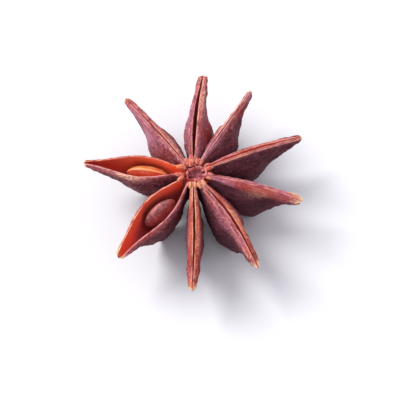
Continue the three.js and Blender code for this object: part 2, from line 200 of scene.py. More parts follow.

# ---- The skin's pattern ----
# LINE_AT and LINE_WIDTH place the painted highlight along a lip's outer shoulder
LINE_AT = 0.95            # where the line near a lip's outer edge lies, as a share of the lip's width
LINE_WIDTH = 0.14         # and how far it spreads
PATCH_SPREAD = dict(      # how far a patch reaches, as shares of the length and of the depth
    tan=(0.13, 0.07),
    red=(0.13, 0.2),
    lilac=(0.16, 0.16),
)

# ---- The picture ----
PICTURE = 400             # its width and height in pixels
HUB_PIXEL = (193, 172)    # where the hub's top lies in it
PIXELS_PER_MM = 7.0
CAMERA_DISTANCE = 230     # from the hub's top
CAMERA_SLOPE = 30         # degrees from straight above
CAMERA_ROLL = -8          # degrees
SENSOR_WIDTH = 36
SUN_AZIMUTH = 140         # degrees anticlockwise from +X
SUN_HEIGHT = 41           # degrees above the table
SUN_SOFTNESS = 34         # degrees that the light seems to be across
SUN_STRENGTH = 3.2
WORLD_STRENGTH = 0.92
FLOOR_REACH = 1.0         # metres from the floor's middle to its edges


# ---- Colours ----

def srgb(red, green, blue):
    """A screen's colour, 0 to 255, as the linear values that a shader takes."""
    def linear(value):
        value /= 255
        return value / 12.92 if value < 0.04045 else ((value + 0.055) / 1.055) ** 2.4
    return (linear(red), linear(green), linear(blue), 1)


class Tones:
    """Colours by name, each given as srgb takes it."""

    def __init__(self, **colors):
        for name, color in colors.items():
            setattr(self, name, srgb(*color))


# shade and shaded_wrinkle: painted shade low on the walls that turn from the light
SKIN = Tones(
    # high to low: lighter near the lips, darker down the wall, partly the skin's own tone and partly
    # painted shade; wrinkle: painted shade in the wrinkles
    high=(158, 82, 90), low=(104, 46, 53), red=(140, 50, 46), rose=(170, 106, 112), wrinkle=(60, 24, 28),
    shade=(80, 46, 55), shaded_wrinkle=(64, 36, 45), pit=(84, 32, 38), speck=(200, 134, 136))
# bright_mauve and bright_orange: pale specks on the lips, and the painted highlight on their edges
LIPS = Tones(
    mauve=(152, 80, 90), orange=(180, 94, 74), bright_mauve=(216, 154, 152), bright_orange=(230, 168, 134),
    streak=(104, 42, 48), cream=(222, 188, 150))
PATCHES = Tones(
    lilac=(140, 86, 104), lilac_speck=(178, 124, 140), red=(142, 50, 42),
    tan=(150, 72, 62), mauve_speck=(232, 184, 158), orange_speck=(204, 120, 92))
# glow: the inside's orange raised by painted light where the hollow is lit
INSIDE = Tones(
    shell=(174, 62, 58), glow=(250, 122, 84), deep=(170, 84, 88), tip=(204, 134, 104),
    # the darker red towards a slit's floor is painted shade
    slit=(88, 36, 32), red_slit=(214, 80, 58), shaded_red_slit=(120, 34, 30))
HUB = Tones(
    knob=(184, 90, 84), warm_knob=(206, 112, 78), cream=(212, 148, 108), speck=(228, 172, 146),
    # the lighter rim and cup tones go where they stand high, as painted highlight
    streak=(136, 58, 50), pit=(156, 48, 38), rim=(176, 76, 70), highlit_rim=(234, 156, 146),
    cup=(106, 44, 50), highlit_cup=(190, 102, 110), flake=(214, 150, 150))
# upper and lower: a seed's two flat sides, partly its own tones and partly painted light and shade; rim:
# flecks, and the painted highlight along the rim
COATS = dict(
    dull_seed=Tones(upper=(202, 126, 110), lower=(142, 76, 80), rim=(212, 146, 126), cloud=(114, 56, 74)),
    orange_seed=Tones(upper=(200, 136, 74), lower=(188, 66, 48), rim=(236, 154, 102), cloud=(202, 92, 56)))
TABLE = Tones(low=(222, 222, 222), high=(226, 226, 226))
SKY = srgb(238, 236, 248)


# ---- Curves ----

def through(points, x):
    """Value at x of a smooth curve through the points (x, y)."""
    px, py = np.array(points, float).T
    slope = np.gradient(py, px, edge_order=1)
    slope[1:-1] = (py[2:] - py[:-2]) / (px[2:] - px[:-2])
    at = np.clip(np.searchsorted(px, x, side="right") - 1, 0, len(px) - 2)
    span = px[at + 1] - px[at]
    t = (x - px[at]) / span
    bend = slope[at] * span * t * (1 - t) ** 2 - slope[at + 1] * span * t * t * (1 - t)
    return py[at] + (py[at + 1] - py[at]) * t * t * (3 - 2 * t) + bend


def smooth_rows(rows, x):
    """Points at x along smooth curves through rows of points, x counting the points of a row."""
    count = rows.shape[1]
    slope = np.empty_like(rows)
    slope[:, 1:-1] = (rows[:, 2:] - rows[:, :-2]) / 2
    slope[:, 0] = rows[:, 1] - rows[:, 0]
    slope[:, -1] = rows[:, -1] - rows[:, -2]
    at = np.minimum(x.astype(int), count - 2)
    t = (x - at)[None, :, None]
    a, b = rows[:, at], rows[:, at + 1]
    bend = slope[:, at] * t * (1 - t) ** 2 - slope[:, at + 1] * t * t * (1 - t)
    return a + (b - a) * t * t * (3 - 2 * t) + bend


def fade(low, high, x):
    """0 below low, 1 above high and smooth between them; the other way round where low is greater."""
    t = np.clip((np.asarray(x, float) - low) / (high - low), 0, 1)
    return t * t * (3 - 2 * t)


def between(pair, share):
    """From the first of a pair to the second, as share goes from 0 to 1."""
    return pair[0] + (pair[1] - pair[0]) * share


def quarter_round(x):
    """A quarter of a circle, from 0 at x = 0 up to 1 at x = 1 and beyond."""
    return np.sqrt(1 - (1 - np.minimum(x, 1)) ** 2)


def fractal(points, octaves=3):
    """Fractal noise, about -1 to 1, at each point of an array."""
    flat = points.reshape(-1, 3)
    values = [noise.fractal(Vector(p), 1.0, 2.0, octaves) for p in flat]
    return np.array(values).reshape(points.shape[:-1])


# ---- A carpel's form ----

def is_open(carpel):
    return carpel["gap"] >= OPEN_GAP


def share_at(carpel, radius):
    """The share of a carpel's length at a distance from the pod's axis, as an array of one."""
    return np.array([(radius - ROOT_RADIUS) / (carpel["reach"] - ROOT_RADIUS)])


def suture_at(carpel, s):
    """Radius, sideways place and height of a carpel's suture at shares s of its length."""
    length = carpel["reach"] - ROOT_RADIUS
    rise = np.sin(np.pi * s)
    bow = np.sin(np.pi * s ** carpel["lag"])
    at_root = np.maximum(1 - s * length / ROOT_ROUND, 0)
    height = SUTURE_HEIGHT + carpel["arch"] * rise - carpel["droop"] * s * s - ROOT_DROP * at_root ** 2
    return ROOT_RADIUS + length * s, carpel["bend"] * bow, height


def sizes_at(carpel, s):
    """Depth, half width, half gap, lip width and tip rounding at shares s of a carpel's length."""
    from_tip = (1 - s) * (carpel["reach"] - ROOT_RADIUS)
    rounded = np.maximum(quarter_round(from_tip / carpel["nose"]), TIP_BLUNT)
    raised = np.maximum(quarter_round(from_tip / TIP_RISE), TIP_BLUNT)
    taper = carpel["taper"]
    depth = carpel["depth"] * (through(BEAKED_DEPTH, s) * (1 - taper) + through(TAPERED_DEPTH, s) * taper)
    width = carpel["body"] * through(BODY_ALONG, s) + carpel["beak"] * through(BEAK_ALONG, s) \
        + carpel["tip"] * through(TIP_ALONG, s)
    half = width / 2 * rounded
    apart = through(APART_ALONG, s) * (1 - carpel["close"]) + through(CLOSING_ALONG, s) * carpel["close"]
    gap = carpel["gap"] / 2 * apart * rounded
    lip = np.minimum(carpel["lip"] * through(LIP_ALONG, s) * rounded, half * 0.9)
    return depth * raised, half, gap, lip, rounded


def outer_half(carpel, s):
    """Half sections from the lip's inner edge round the outside to the keel, as (side, down)."""
    depth, half, gap, lip, rounded = sizes_at(carpel, s)
    drop = np.minimum(LIP_DROP, depth * 0.2)

    def ripple(v):
        waves = RIPPLES * s + 0.5 * v + carpel["azimuth"] / RIPPLE_TURN
        return RIPPLE * v * np.sin(2 * np.pi * waves) * rounded

    points = [(gap, 0 * s), (gap + lip * 0.6, drop * 0.3), (gap + lip, drop)]
    for u, v in WALL_SECTION:
        width = lip + (half - lip) * u if v < BULGE else half * u
        points.append((gap * (1 - v) + width + ripple(v), depth * v))
    points.append((0 * s, depth + ripple(1)))
    return np.array([np.stack(p, -1) for p in points]).transpose(1, 0, 2)


def inner_half(carpel, s):
    """Half sections of the slit or hollow, from the lip's inner edge to its floor, as (side, down)."""
    depth, half, gap, lip, _ = sizes_at(carpel, s)
    points = [(gap, 0 * s)]
    if is_open(carpel):
        for u, v in HOLLOW_SECTION:
            outer = gap * (1 - v) + lip + (half - lip) * min(v / 0.3, 1)
            points.append(((outer - np.minimum(WALL, half * 0.6)) * u, depth * v))
        points.append((0 * s, depth * HOLLOW_FLOOR))
    else:
        points += [(gap * 0.7, depth * SLIT_FLOOR / 2), (0 * s, depth * SLIT_FLOOR)]
    return np.array([np.stack(p, -1) for p in points]).transpose(1, 0, 2)


def inner_steps(carpel):
    return HOLLOW_STEPS if is_open(carpel) else SLIT_STEPS


def lip_number(carpel):
    """Which point of a closed section is the left lip's inner edge."""
    return len(inner_steps(carpel)) - 1


def closed_sections(carpel):
    """The whole sections at the stations, as (side, down), from the floor of the slit or hollow."""
    outer = smooth_rows(outer_half(carpel, STATIONS), OUTER_STEPS)
    inner = smooth_rows(inner_half(carpel, STATIONS), inner_steps(carpel))
    left = np.concatenate([inner[:, :0:-1], outer], axis=1)
    right = left[:, -2:0:-1] * (-1, 1)
    return np.concatenate([left, right], axis=1)


def along_suture(carpel, loop):
    """The points of the sections set along the suture, which runs out along X."""
    radius, side, height = (value[:, None] for value in suture_at(carpel, STATIONS))
    depth = sizes_at(carpel, STATIONS)[0][:, None]
    x, z = loop[..., 0], loop[..., 1]
    across = x + side * (1 - z / depth)
    turn = math.radians(carpel["twist"])
    return np.stack([
        np.broadcast_to(radius, x.shape),
        across * math.cos(turn) - z * math.sin(turn),
        height - across * math.sin(turn) - z * math.cos(turn),
    ], -1)


def carpel_grid(carpel):
    """A carpel's surface as rings of points, and what each point carries for the material."""
    loop = closed_sections(carpel)
    index = np.arange(loop.shape[1])
    from_floor = np.minimum(index, loop.shape[1] - index)
    inside = from_floor < lip_number(carpel)
    on_edge = from_floor == lip_number(carpel)
    points, ridge = roughen(carpel, along_suture(carpel, loop), loop, inside, on_edge)
    return points, dict(carpel_facts(carpel, loop, inside), ridge=ridge)


# ---- A carpel's relief ----

def girth_from_floor(loop):
    """How far each point of the closed sections is from their first point, the shorter way round."""
    steps = np.linalg.norm(loop - np.roll(loop, 1, axis=1), axis=-1)
    run = np.cumsum(steps, axis=1) - steps[:, :1]
    return np.minimum(run, steps.sum(axis=1, keepdims=True) - run)


def surface_normals(points):
    """Unit normals of a surface given as closed rings of points."""
    along = np.gradient(points, axis=0)
    around = np.roll(points, -1, axis=1) - np.roll(points, 1, axis=1)
    normal = np.cross(around, along)
    return normal / (np.linalg.norm(normal, axis=-1, keepdims=True) + 1e-9)


def relief_of(carpel, points, loop, down, inside, on_edge):
    """How far a carpel's skin stands out: wrinkles, dents, grit, lumpy lips and a nicked keel."""
    shift = carpel["azimuth"]
    girth = girth_from_floor(loop)
    flow = np.stack([points[..., 0] * 0.42 + girth * 0.12, girth * 1.25, shift + loop[..., 0] * 0.8], -1)
    wrinkle = 1 - 3 * np.abs(fractal(flow, 2))
    dent = fractal(points * 0.5 + shift, 2)
    grit = fractal(points * (1.5, 2.0, 2.0) + shift, 2)
    lumps = fractal(points * (1.4, 2.2, 2.2) + shift, 2)
    nicks = fractal(points * (1.3, 0.2, 0.2) + shift * 2, 3)
    outside = ~inside & ~on_edge
    wall = fade(0.02, 0.16, down) * outside
    height = (WRINKLE * wrinkle + DENT * dent) * wall + GRIT * grit * outside
    height += INSIDE_DENT * DENT * dent * inside
    height += LIP_KNOBS * lumps * fade(0.2, 0.05, down) * outside
    height += KEEL_NICK * nicks * fade(0.9, 1.0, down) * outside
    return height


def roughen(carpel, points, loop, inside, on_edge):
    """Moves a carpel's surface by its relief, and says what stands proud and what lies deep."""
    depth, _, _, lip, rounded = (size[:, None] for size in sizes_at(carpel, STATIONS))
    down = loop[..., 1] / depth
    height = relief_of(carpel, points, loop, down, inside, on_edge)
    moved = points + surface_normals(points) * (height * rounded)[..., None]

    hand = np.sign(loop[..., 0])
    wave = fractal(np.stack([points[..., 0] * 1.1, hand * 3, carpel["azimuth"] + 0 * hand], -1))
    near_lip = fade(0.12, 0.0, down) * hand
    moved[..., 1] += LIP_WAVE * wave * near_lip * np.minimum(lip / 0.3, 1)
    moved[..., 2] += LIP_WAVE * wave * np.abs(near_lip)
    return moved, np.clip(height / (WRINKLE + DENT), -1, 1)


# ---- What the material needs to know ----

def by_side(pair, x):
    """The left or the right value of a pair, and their middle on the keel."""
    left, right = pair
    return right + (left - right) * fade(-0.1, 0.1, x)


def patches_of(carpel, color, x, down):
    """How much of its patches' colour a carpel's skin has."""
    along, below = PATCH_SPREAD[color]
    amount = 0 * down
    for side, at, low, strength in carpel.get(color, []):
        away = ((STATIONS[:, None] - at) / along) ** 2 + ((down - low) / below) ** 2
        amount = amount + strength * np.exp(-away) * (side * x > 0)
    return amount


def tip_cream(carpel, down, outwards):
    """How cream a carpel's skin is: towards the tip, most near the suture and out at the sides."""
    near_tip = np.clip((STATIONS - 1) / (2 * carpel["pale"]) + 1, 0, 1)[:, None]
    return near_tip * (1 - 0.6 * fade(0.1, 0.6, down)) * (0.6 + 0.4 * fade(0.3, 0.9, outwards))


def hollow_facts(carpel, z, inside):
    """What only an open carpel's points carry."""
    # glow: the inside's own orange, raised by painted light where the hollow is lit
    glow = between(carpel["glow"], fade(0.2, 0.8, STATIONS))[:, None]
    return dict(open=1 + 0 * z, glow=glow + 0 * z, deep=fade(*carpel["deep"], z) * inside)


def carpel_facts(carpel, loop, inside):
    """What the points of a carpel's sections carry for the material."""
    depth, half, gap, lip, _ = (size[:, None] for size in sizes_at(carpel, STATIONS))
    x, z = loop[..., 0], loop[..., 1]
    down = z / depth
    beside = np.abs(x) - gap
    outside = ~inside
    near_suture = fade(0.3, 0.15, down)
    # the lips' inner edges: partly pale skin, partly painted highlight
    edge = np.where(inside, fade(0.05, 0.0, down), 1 - fade(0.06, 0.22, beside))
    # a painted highlight along the lip's outer shoulder
    line = np.exp(-((beside / lip - carpel.get("line_at", LINE_AT)) / LINE_WIDTH) ** 2)
    # painted shade: darker skin low on the walls that turn from the light, from about band downwards
    shade = fade(0.6, 1.5, z / between(carpel["band"], STATIONS)[:, None])
    dark = np.minimum(by_side(carpel["dark"], x) * shade * outside, 1)
    facts = dict(
        inside=inside + 0 * x,
        down=down,
        # the lips give way to painted shade where it reaches them
        lip=(1 - fade(0.75, 1.25, beside / lip)) * near_suture * outside * (1 - 0.7 * dark),
        line=line * near_suture * outside * by_side(carpel.get("line", (0, 0)), x),
        edge=edge * near_suture * by_side(carpel["edge"], x),
        warm=by_side(carpel["warm"], x),
        dark=dark,
        tan=patches_of(carpel, "tan", x, down) * outside,
        red=patches_of(carpel, "red", x, down) * outside * (1 - shade),
        lilac=patches_of(carpel, "lilac", x, down) * outside * (1 - dark),
        pale=tip_cream(carpel, down, np.abs(x) / half),
        slit=carpel["slit"] + 0 * x,
    )
    if is_open(carpel):
        facts.update(hollow_facts(carpel, z, inside))
    return facts


def fibre_facts(places):
    """Where points lie along, across and up their own piece, for the material's noise."""
    return {"fibre_" + axis: values for axis, values in zip("XYZ", places.T)}


# ---- Meshes ----

def scene_object(name, data):
    """A new object in the scene that shows the data."""
    thing = bpy.data.objects.new(name, data)
    bpy.context.scene.collection.objects.link(thing)
    return thing


def mesh_object(name, points, faces):
    """An object from points and lists of point numbers."""
    mesh = bpy.data.meshes.new(name)
    mesh.from_pydata(np.asarray(points).tolist(), [], faces)
    return scene_object(name, mesh)


def set_fact(mesh, name, values):
    """Gives each point of a mesh a number that its material reads by name."""
    attribute = mesh.attributes.new(name, "FLOAT", "POINT")
    attribute.data.foreach_set("value", values.astype(np.float32))


def rotated(points, angle):
    """The points turned about the Z axis by an angle in radians."""
    x, y, z = points.T
    return np.stack([
        x * math.cos(angle) - y * math.sin(angle),
        x * math.sin(angle) + y * math.cos(angle),
        z,
    ], -1)


def ring_faces(rings, count):
    """Quads between equal rings of points."""
    start = np.arange(rings - 1)[:, None] * count
    a = (start + np.arange(count)).ravel()
    b = (start + (np.arange(count) + 1) % count).ravel()
    return np.stack([a, a + count, b + count, b], -1).tolist()


def closed_faces(rows, sides):
    """Faces of rows of points, bottom row first, closed by two more: the lowest and the highest."""
    faces = [face[::-1] for face in ring_faces(rows, sides)]
    low, high, last = rows * sides, rows * sides + 1, (rows - 1) * sides
    for k in range(sides):
        after = (k + 1) % sides
        faces += [[low, after, k], [high, last + k, last + after]]
    return faces


def unit_ball(rows, sides):
    """Points of a ball of radius 1, in rows from bottom to top, then its poles, and its faces."""
    around_angles = np.arange(sides) * 2 * math.pi / sides
    up_angles = np.arange(1, rows + 1) * math.pi / (rows + 1)
    around, up = np.meshgrid(around_angles, up_angles)
    rings = np.stack([np.sin(up) * np.cos(around), np.sin(up) * np.sin(around), -np.cos(up)], -1)
    return np.array([*rings.reshape(-1, 3), (0, 0, -1), (0, 0, 1)]), closed_faces(rows, sides)


def lathe(profile, sides):
    """Points and faces of a body turned round the pod's axis from (radius, height), ends on the axis."""
    rows = np.array(profile[1:-1])
    angle = np.arange(sides) * 2 * math.pi / sides
    rings = np.stack([
        rows[:, :1] * np.cos(angle) + AXIS[0],
        rows[:, :1] * np.sin(angle) + AXIS[1],
        np.broadcast_to(rows[:, 1:], (len(rows), sides)),
    ], -1)
    points = np.array([*rings.reshape(-1, 3), (*AXIS, profile[0][1]), (*AXIS, profile[-1][1])])
    return points, closed_faces(len(rows), sides)


def strip_faces(outer, inner):
    """Triangles between two chains of point numbers that start at the same point."""
    faces = []
    a = b = 0
    while a < len(outer) - 1 or b < len(inner) - 1:
        if b == len(inner) - 1 or (a < len(outer) - 1 and (a + 1) / len(outer) <= (b + 1) / len(inner)):
            if outer[a] != inner[b]:
                faces.append([outer[a], outer[a + 1], inner[b]])
            a += 1
        else:
            faces.append([outer[a], inner[b + 1], inner[b]])
            b += 1
    return faces


def section_faces(count, lip):
    """Triangles that fill a section: its left wall and its right wall, from the lip to the keel."""
    keel = count // 2
    left = strip_faces(range(lip, keel + 1), range(lip, -1, -1))
    right = strip_faces(range(count - lip, keel - 1, -1), [*range(count - lip, count), 0])
    return left + [[a, c, b] for a, b, c in right]


def finish_mesh(mesh, sharp_angle):
    """Flattens what would sink into the table, scales to metres and smooths all but the sharp edges."""
    places = np.empty(len(mesh.vertices) * 3)
    mesh.vertices.foreach_get("co", places)
    places[2::3] = np.maximum(places[2::3], 0)
    mesh.vertices.foreach_set("co", places * MM)
    mesh.shade_smooth()
    mesh.set_sharp_from_angle(angle=math.radians(sharp_angle))
    mesh.update()


# ---- The pod's parts, each as an object, its points and what they carry ----

def carpel_part(carpel, number):
    """A carpel turned to its place."""
    grid, facts = carpel_grid(carpel)
    rings, count = grid.shape[:2]
    end = count * (rings - 1)
    faces = ring_faces(rings, count)
    for a, b, c in section_faces(count, lip_number(carpel)):
        faces += [[a, b, c], [end + a, end + c, end + b]]
    points = grid.reshape(-1, 3)
    facts = {name: values.ravel() for name, values in facts.items()}
    facts.update(fibre_facts(points + (0, 0, 20 * number)))
    placed = rotated(points, math.radians(carpel["azimuth"])) + (*AXIS, 0)
    return mesh_object(f"carpel_{number}", placed, faces), placed, facts


def hub_profile():
    """The hub's outline from the scar under it to the middle of its cup, as (radius, height)."""
    scar = COLUMN_FOOT - STALK_LENGTH
    floor = COLUMN_TOP - CUP_DEPTH
    outline = [
        (0, scar), (STALK_RADIUS * 0.9, scar),
        (STALK_RADIUS, COLUMN_FOOT - 0.1), (STALK_RADIUS + 0.3, COLUMN_FOOT + 0.15),
        (COLUMN_RADIUS, COLUMN_FOOT + 0.5), (COLUMN_RADIUS, COLUMN_TOP - 0.5),
        (COLUMN_RADIUS - 0.2, COLUMN_TOP - 0.15), (CUP_RADIUS + 0.25, COLUMN_TOP - 0.1),
        (CUP_RADIUS + 0.1, COLUMN_TOP + 0.3), (CUP_RADIUS, COLUMN_TOP + 0.28),
        (CUP_RADIUS * 0.93, COLUMN_TOP - 0.2), (CUP_RADIUS * 0.75, floor),
        (0, floor),
    ]
    steps = np.linspace(0, len(outline) - 1, HUB_ROWS)
    return smooth_rows(np.array([outline], float), steps)[0].tolist()


def hub_part():
    """The column, with its stalk scar below and above it a torn cup inside a thin uneven rim."""
    points, faces = lathe(hub_profile(), HUB_SIDES)
    out = points[:, :2] - AXIS
    radius = np.hypot(*out.T)
    top = fade(COLUMN_TOP - 1.2, COLUMN_TOP - 0.6, points[:, 2])
    near_rim = fade(0.6, 1.0, radius)
    round_rim = np.column_stack([out / np.maximum(radius, 0.3)[:, None], 0 * radius])
    torn = fractal(round_rim * 2.6, 3)
    corner = fractal(round_rim * 1.5 + 5, 2)
    flake = fractal(points * (1.6, 1.6, 0.3), 3) * 2
    points[:, 2] += top * (HUB_FLAKE * flake * (1 - near_rim) + HUB_TEAR * torn * near_rim)
    points[:, :2] += out * (top * HUB_CORNER * corner)[:, None]
    points[:, 0] += out[:, 0] * top * HUB_WIDE
    points[:, :2] += top[:, None] * HUB_SHIFT
    facts = dict(
        cup=top * fade(CUP_RADIUS + 0.05, CUP_RADIUS - 0.12, radius),
        rim=top * fade(0.2, 0.08, np.abs(radius - CUP_RADIUS - 0.04)),
        pit=top * fade(CUP_RADIUS + 0.1, CUP_RADIUS + 0.25, radius),
        ridge=np.where(near_rim > 0.5, torn * 2, flake),
        **fibre_facts(points),
    )
    return mesh_object("hub", points, faces), points, facts


def knob_part(name, centre, size, turn, warm):
    """A small rounded lump, longest along its own X, that a lip ends in beside the hub."""
    points, faces = unit_ball(KNOB_ROWS, KNOB_SIDES)
    points = points * size * (1 + KNOB_UNEVEN * fractal(points * 1.3 + centre, 2))[:, None]
    placed = rotated(points, turn) + centre
    one = np.ones(len(placed))
    cream = fade(AXIS[1] - 0.6, AXIS[1] - 1.6, centre[1])
    fibres = fibre_facts(points + (0, 0, 7 * centre[0]))
    facts = dict(knob=one, warm=warm * one, cream=cream * one, **fibres)
    return mesh_object(name, placed, faces), placed, facts


def knob_parts(carpel, number):
    """The two lumps that a carpel's lips end in against the hub."""
    turn = math.radians(carpel["azimuth"])
    radius = KNOB_RADIUS + max(HUB_SHIFT[0] * math.cos(turn) + HUB_SHIFT[1] * math.sin(turn), 0)
    s = share_at(carpel, radius)
    _, _, gap, lip, _ = (size[0] for size in sizes_at(carpel, s))
    height = suture_at(carpel, s)[2][0] - KNOB_SIZE[2] * 0.55
    knobs = []
    for hand, size, warm in zip((1, -1), carpel["lump"], carpel["warm"]):
        side = hand * (gap + lip / 2 + KNOB_SIZE[1] * 0.4)
        centre = rotated(np.array([[radius, side, height]]), turn)[0] + (*AXIS, 0)
        knobs.append(knob_part(f"knob_{number}_{hand}", centre, np.array(KNOB_SIZE) * size, turn, warm))
    return knobs


# ---- The pod as one mesh ----

def union(things):
    """One mesh of all the objects, which are then gone."""
    base, *others = things
    rest = bpy.data.collections.new("rest")
    for other in others:
        rest.objects.link(other)
    joined = base.modifiers.new("union", "BOOLEAN")
    joined.operation = "UNION"
    joined.solver = "MANIFOLD"
    joined.operand_type = "COLLECTION"
    joined.collection = rest
    graph = bpy.context.evaluated_depsgraph_get()
    mesh = bpy.data.meshes.new_from_object(base.evaluated_get(graph))
    bpy.data.collections.remove(rest)
    for thing in things:
        bpy.data.meshes.remove(thing.data)
    return mesh


def carry_facts(mesh, parts):
    """Gives each point of the joined mesh what the nearest point of its parts carries."""
    places = np.concatenate([points for _, points, _ in parts])
    tree = kdtree.KDTree(len(places))
    for number, place in enumerate(places):
        tree.insert(place, number)
    tree.balance()
    nearest = [tree.find(vertex.co)[1] for vertex in mesh.vertices]
    for name in sorted({name for _, _, facts in parts for name in facts}):
        values = [facts.get(name, np.zeros(len(points))) for _, points, facts in parts]
        set_fact(mesh, name, np.concatenate(values)[nearest])


def make_pod():
    """The carpels, the hub and the lumps round it as one closed mesh."""
    parts = [carpel_part(carpel, number) for number, carpel in enumerate(CARPELS, 1)]
    parts.append(hub_part())
    for number, carpel in enumerate(CARPELS, 1):
        parts += knob_parts(carpel, number)
    mesh = union([thing for thing, _, _ in parts])
    carry_facts(mesh, parts)
    finish_mesh(mesh, POD_SHARP)
    mesh.materials.clear()
    mesh.materials.append(pod_material())
    return scene_object("pod_skin", mesh)


# ---- Seeds ----

def seed_place(carpel):
    """Where the seed of an open carpel stands, as a matrix."""
    seed = carpel["seed"]
    lean, yaw, turn = (math.radians(angle) for angle in (seed["lean"], seed["yaw"], carpel["azimuth"]))
    s = share_at(carpel, seed["radius"])
    _, side, height = (value[0] for value in suture_at(carpel, s))
    middle = (
        seed["radius"],
        side + seed["side"],
        height - seed["top"] - SEED["height"] * seed["size"] / 2,
    )
    return Matrix.Translation((*AXIS, 0)) @ Matrix.Rotation(turn, 4, "Z") @ Matrix.Translation(middle) \
        @ Matrix.Rotation(yaw, 4, "Z") @ Matrix.Rotation(lean, 4, "X")


def make_seed(carpel, name):
    """A flattened egg with a low rim round its edge, standing on that edge in an open carpel."""
    seed = carpel["seed"]
    points, faces = unit_ball(SEED_SIDES // 2 - 1, SEED_SIDES)
    points /= 2
    on_rim = np.exp(-((points[:, 1] / SEED["rim_width"]) ** 2))
    points *= np.array((SEED["length"], SEED["thickness"], SEED["height"])) * seed["size"]
    points[:, [0, 2]] *= 1 + SEED["rim"] * seed["rim"] * on_rim[:, None]
    points *= (1 + SEED_UNEVEN * fractal(points * 0.8 + carpel["azimuth"], 2))[:, None]
    place = seed_place(carpel)
    placed = points @ np.array(place.to_3x3()).T + np.array(place.translation)
    thing = mesh_object(name, placed, faces)
    # on_rim: where the painted highlight along the rim goes; face: which flat side a point is on
    facts = dict(on_rim=on_rim * seed["rim"], face=fade(-0.25, 0.25, points[:, 1]), **fibre_facts(points))
    for key, values in facts.items():
        set_fact(thing.data, key, values)
    finish_mesh(thing.data, SEED_SHARP)
    thing.data.materials.append(seed_material(seed))
    return thing


# ---- Materials ----

class Paint:
    """A material's nodes round one Principled shader. Most methods add a node and return its output."""

    def __init__(self, name):
        self.material = bpy.data.materials.new(name)
        self.material.use_nodes = True
        self.tree = self.material.node_tree
        self.shader = self.tree.nodes["Principled BSDF"]

    def node(self, kind, inputs, output=0, **settings):
        node = self.tree.nodes.new("ShaderNode" + kind)
        for key, value in settings.items():
            setattr(node, key, value)
        for key, value in inputs.items():
            self.give(node.inputs[key], value)
        return node.outputs[output]

    def give(self, socket, value):
        """Links a socket to a node's output, or sets its own value."""
        if isinstance(value, bpy.types.NodeSocket):
            self.tree.links.new(value, socket)
        else:
            socket.default_value = value

    def set(self, **values):
        """Gives the shader's sockets, named with _ for each space, their values."""
        for key, value in values.items():
            self.give(self.shader.inputs[key.replace("_", " ")], value)

    def fact(self, name):
        """What the mesh's points carry under a name."""
        return self.node("Attribute", {}, "Fac", attribute_name=name)

    def noise(self, scale, detail, roughness=0.55):
        """Noise laid along, across and up the piece, with a scale for each, per millimetre."""
        place = self.node("CombineXYZ", {axis: self.fact("fibre_" + axis) for axis in "XYZ"})
        place = self.node("VectorMath", {0: place, 1: scale}, operation="MULTIPLY")
        return self.node("TexNoise", {"Vector": place, "Scale": 1.0, "Detail": detail,
                                      "Roughness": roughness}, "Fac")

    def step(self, value, low, high):
        """0 where value is at low, 1 where it is at high, and smooth between them."""
        return self.node("MapRange", {"Value": value, "From Min": low, "From Max": high},
                         interpolation_type="SMOOTHSTEP")

    def math(self, operation, *values):
        return self.node("Math", dict(enumerate(values)), operation=operation)

    def plus(self, a, b):
        return self.math("ADD", a, b)

    def times(self, a, b):
        return self.math("MULTIPLY", a, b)

    def mix(self, a, b, share):
        """Colour a with a share of colour b."""
        return self.node("Mix", {0: share, 6: a, 7: b}, 2, data_type="RGBA")

    def over(self, a, b, value, low, high, share=1.0):
        """Colour a with a share of colour b where value is at high, and none of it at low."""
        return self.mix(a, b, self.times(self.step(value, low, high), share))

    def bump(self, height, distance, strength):
        return self.node("Bump", {"Height": height, "Distance": distance, "Strength": strength})


class PodPaint(Paint):
    """The pod's material, with the patterns and the lips' colours that several of its parts share."""

    def __init__(self):
        super().__init__("anise_wall")
        self.streak = self.noise((0.45, 3.2, 2.6), 4)
        self.blotch = self.noise((1.1, 1.7, 1.7), 2)
        self.speck = self.noise((2.7, 3.7, 3.7), 5, 0.72)
        drift = self.step(self.noise((0.5, 0.5, 0.5), 1), 0.35, 0.65)
        self.warm = self.plus(self.fact("warm"), self.math("MULTIPLY_ADD", drift, 0.5, -0.25))
        self.bright = self.mix(LIPS.bright_mauve, LIPS.bright_orange, self.warm)


def wall_color(paint):
    """Mauve to red-brown, darker down the wall (partly its own tone, partly painted shade), with painted
    shade in its wrinkles and low on walls that turn from the light, and fine dark and pale specks.
    """
    mottle = paint.noise((0.55, 0.8, 0.8), 3)
    down = paint.plus(paint.fact("down"), paint.times(mottle, 0.35))
    # darker down the wall: partly the skin's own tone, partly painted shade
    color = paint.over(SKIN.high, SKIN.low, down, 0.2, 0.8)
    color = paint.over(color, SKIN.red, mottle, 0.48, 0.62, 0.7)
    color = paint.over(color, SKIN.rose, paint.blotch, 0.52, 0.64, 0.6)
    # painted shade in the wrinkles: what lies low is darker than what stands proud
    proud = paint.step(paint.plus(paint.fact("ridge"), paint.times(paint.streak, 0.8)), 0.1, 0.9)
    color = paint.mix(SKIN.wrinkle, color, paint.plus(0.45, paint.times(proud, 0.55)))
    # painted shade low on the walls that turn from the light
    shade = paint.mix(SKIN.shaded_wrinkle, SKIN.shade, proud)
    color = paint.mix(color, shade, paint.times(paint.fact("dark"), 0.88))
    color = paint.over(color, SKIN.pit, paint.speck, 0.5, 0.34, 0.75)
    # the pale specks thin out under painted shade
    lit = paint.math("MULTIPLY_ADD", paint.fact("dark"), -0.7, 0.8)
    return paint.over(color, SKIN.speck, paint.speck, 0.5, 0.66, lit)


